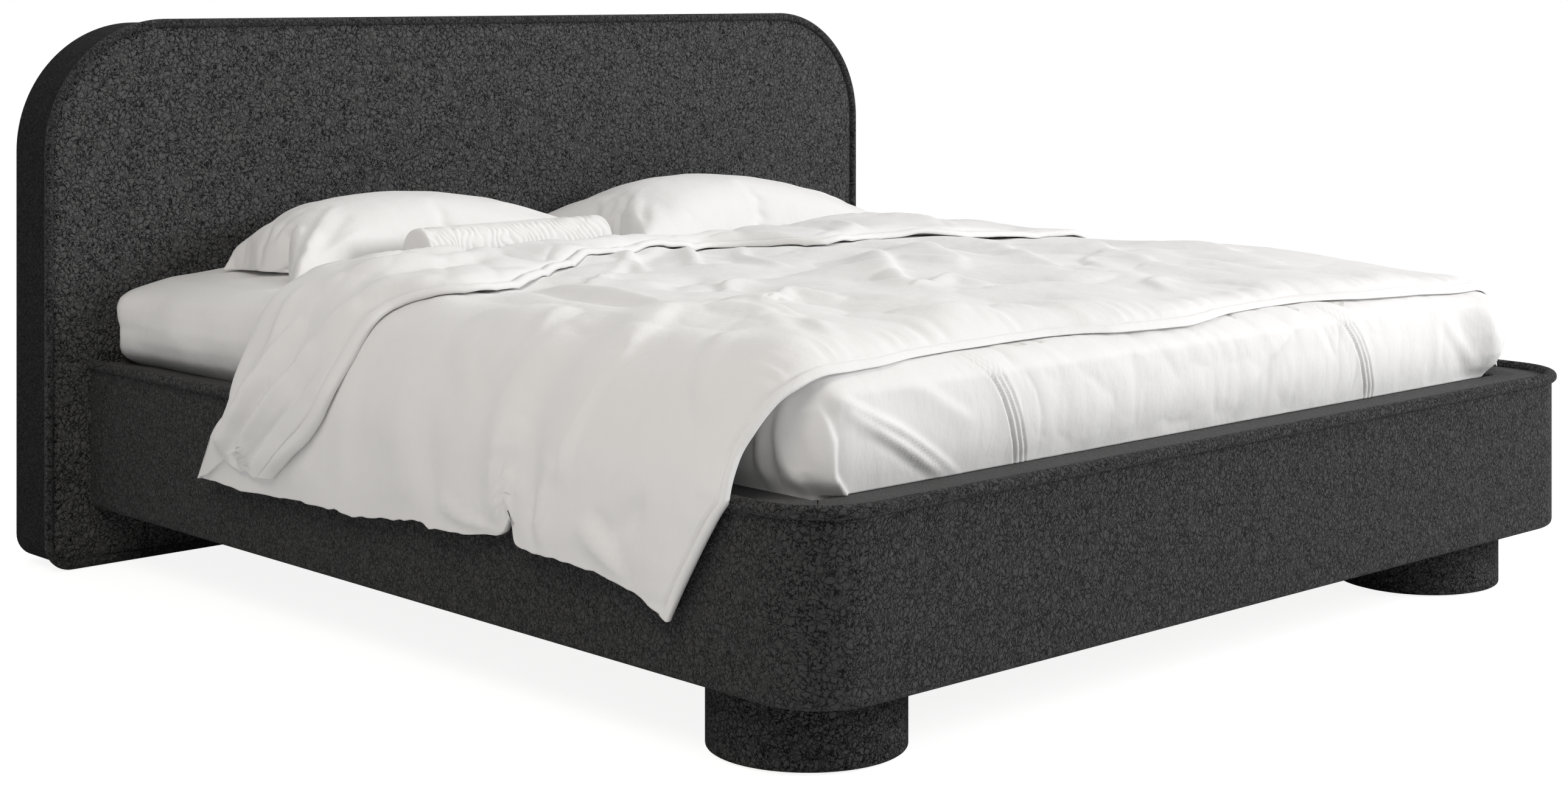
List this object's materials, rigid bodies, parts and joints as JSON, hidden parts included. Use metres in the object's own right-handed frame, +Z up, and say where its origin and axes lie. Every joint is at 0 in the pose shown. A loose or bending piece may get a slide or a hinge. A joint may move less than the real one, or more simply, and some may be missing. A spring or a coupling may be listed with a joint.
{
  "type": "upholstered bed",
  "caption": "Upholstered double bed with a rounded floor-standing headboard, broad padded rails and drum feet, made up with mattress, sheet, duvet, pillows and bolster.",
  "frame": {"origin": "on the floor, at the middle of the whole bed's plan", "axes": "+Z up, +Y towards the headboard, +X across the bed to the right of someone who looks from its foot"},
  "size_m": [2.302, 2.296, 1.119],
  "materials": {
    "looped_fabric": "matte",
    "side_fabric": "matte",
    "foam": "matte",
    "timber": "satin",
    "plywood": "satin",
    "hardboard": "matte",
    "lining_cloth": "matte",
    "glide_plastic": "satin",
    "bracket_steel": "satin",
    "bolt_steel": "satin",
    "screw_steel": "satin",
    "leg_paint": "satin",
    "slat_wood": "satin",
    "holder_plastic": "matte",
    "ticking": "matte",
    "white_cotton": "matte"
  },
  "bodies": {
    "bed": {"headboard_frame": "timber", "headboard_face_board": "plywood", "headboard_foam": "foam", "headboard_front_cover": "looped_fabric", "headboard_band": "side_fabric", "headboard_welt": "side_fabric", "headboard_back_board": "hardboard", "headboard_back_cloth": "lining_cloth", "headboard_glides": "glide_plastic", "side_rail_core_left": "plywood", "side_rail_core_right": "plywood", "side_rail_cover_left": "side_fabric", "side_rail_cover_right": "side_fabric", "side_rail_welt_left": "side_fabric", "side_rail_welt_right": "side_fabric", "foot_rail_core": "plywood", "corner_block_left": "timber", "corner_block_right": "timber", "foot_rail_cover": "side_fabric", "foot_rail_welt": "side_fabric", "corner_board_left": "plywood", "corner_board_right": "plywood", "drum_core_left": "timber", "drum_core_right": "timber", "drum_cover_left": "side_fabric", "drum_cover_right": "side_fabric", "drum_glide_left": "glide_plastic", "drum_glide_right": "glide_plastic", "drum_bolts": "bolt_steel", "bracket_head_left": "bracket_steel", "bracket_head_right": "bracket_steel", "bracket_foot_left": "bracket_steel", "bracket_foot_right": "bracket_steel", "bracket_bolts": "bolt_steel", "slat_ledger_left": "timber", "slat_ledger_right": "timber", "ledger_screws": "screw_steel", "centre_beam": "timber", "beam_shoe_head": "bracket_steel", "beam_shoe_foot": "bracket_steel", "beam_bolts": "bolt_steel", "centre_leg_front": "leg_paint", "centre_leg_rear": "leg_paint", "leg_screws": "screw_steel", "slats_left": "slat_wood", "slats_right": "slat_wood", "slat_holders_left": "holder_plastic", "slat_holders_right": "holder_plastic", "slat_holders_centre": "holder_plastic", "mattress": "ticking", "fitted_sheet": "white_cotton", "duvet": "white_cotton", "pillow_left": "white_cotton", "pillow_right": "white_cotton", "bolster": "white_cotton"},
    "front_levelling_foot": {"levelling_foot_front": "bolt_steel"},
    "rear_levelling_foot": {"levelling_foot_rear": "bolt_steel"}
  },
  "joints": [
    {"name": "front_foot_level", "type": "slide", "parent": "bed", "child": "front_levelling_foot", "axis": [0, 0, 1], "range_m": [-0.01, 0.015]},
    {"name": "rear_foot_level", "type": "slide", "parent": "bed", "child": "rear_levelling_foot", "axis": [0, 0, 1], "range_m": [-0.01, 0.015]}
  ]
}
